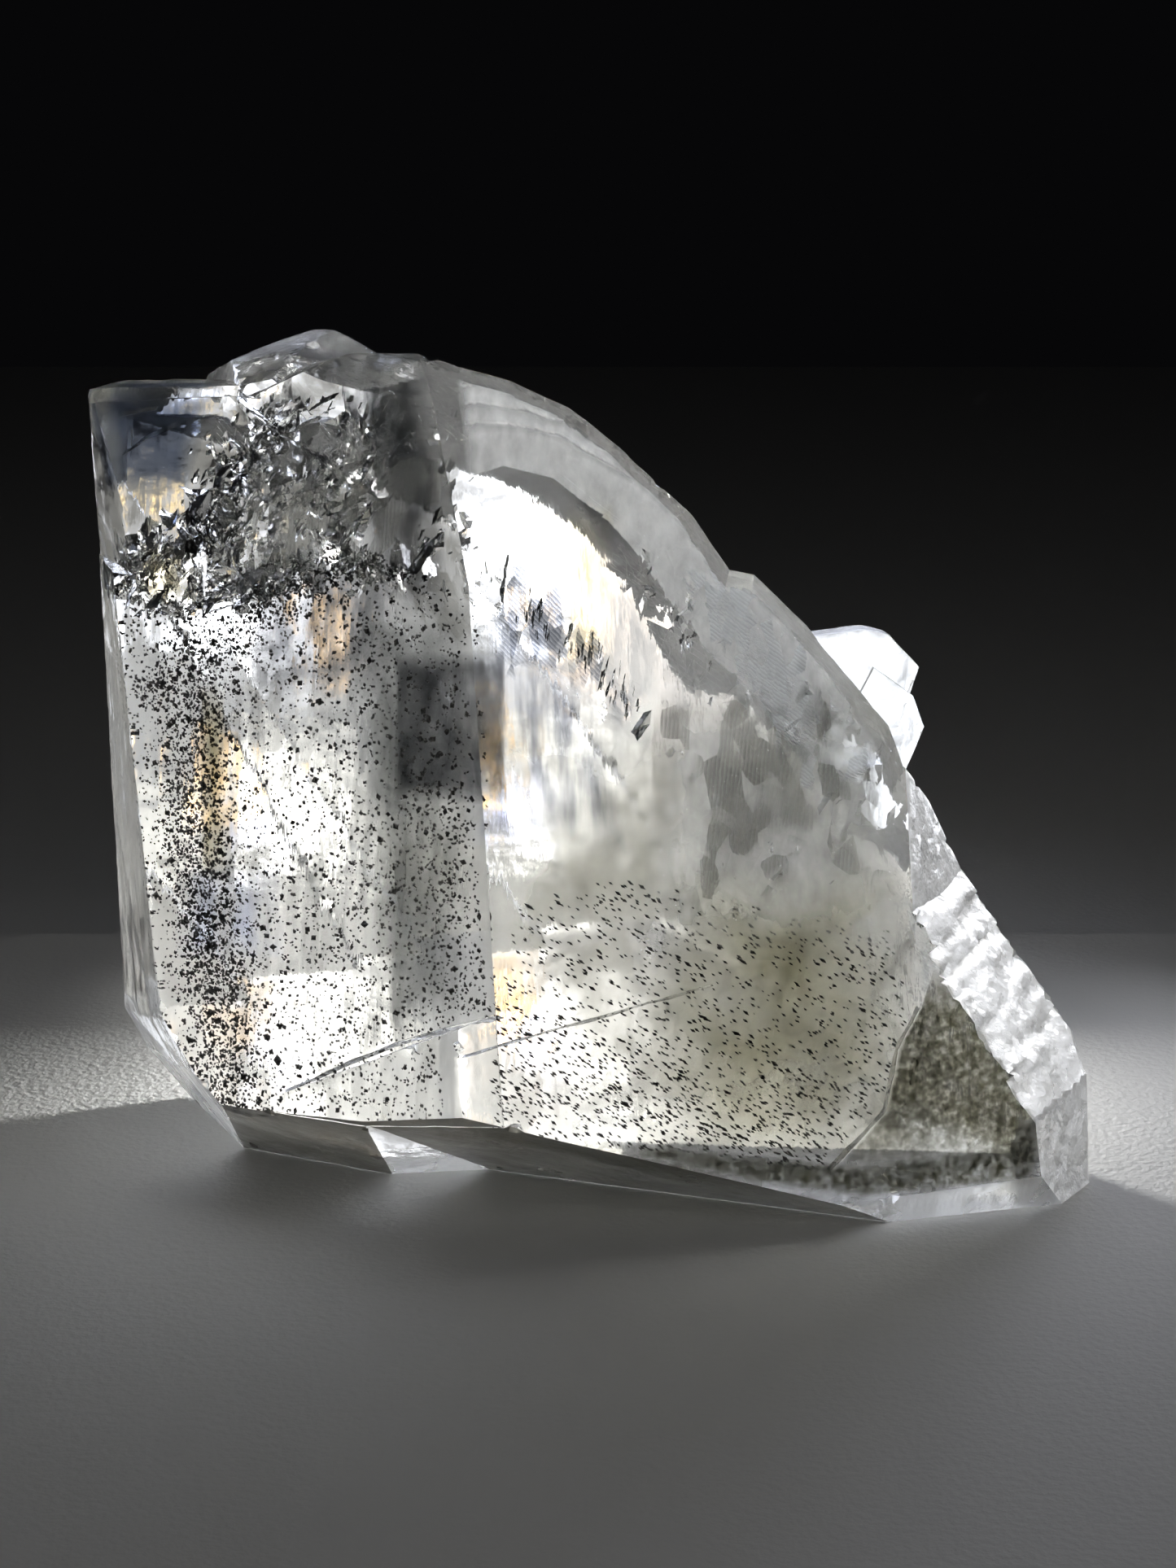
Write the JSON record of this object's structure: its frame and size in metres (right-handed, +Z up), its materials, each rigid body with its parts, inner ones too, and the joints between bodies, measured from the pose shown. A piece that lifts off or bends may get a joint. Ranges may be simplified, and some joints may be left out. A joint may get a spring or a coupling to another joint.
{
  "type": "calcite crystal",
  "caption": "Clear, nearly colourless calcite crystal with flat faces, growth steps, a small knob on top and thin plates at its shoulder, resting on a flat underside.",
  "frame": {"origin": "middle of the bounding box at the level of the flat underside", "axes": "+Z up, +X to the right of the front view and along the longest side, front towards -Y"},
  "size_m": [0.0792, 0.0414, 0.0658],
  "materials": {
    "calcite": "clear and glossy on the faces, slightly milky inside, with black grains and pearly cracks"
  },
  "bodies": {
    "root": {"calcite_crystal": "calcite"}
  },
  "joints": []
}
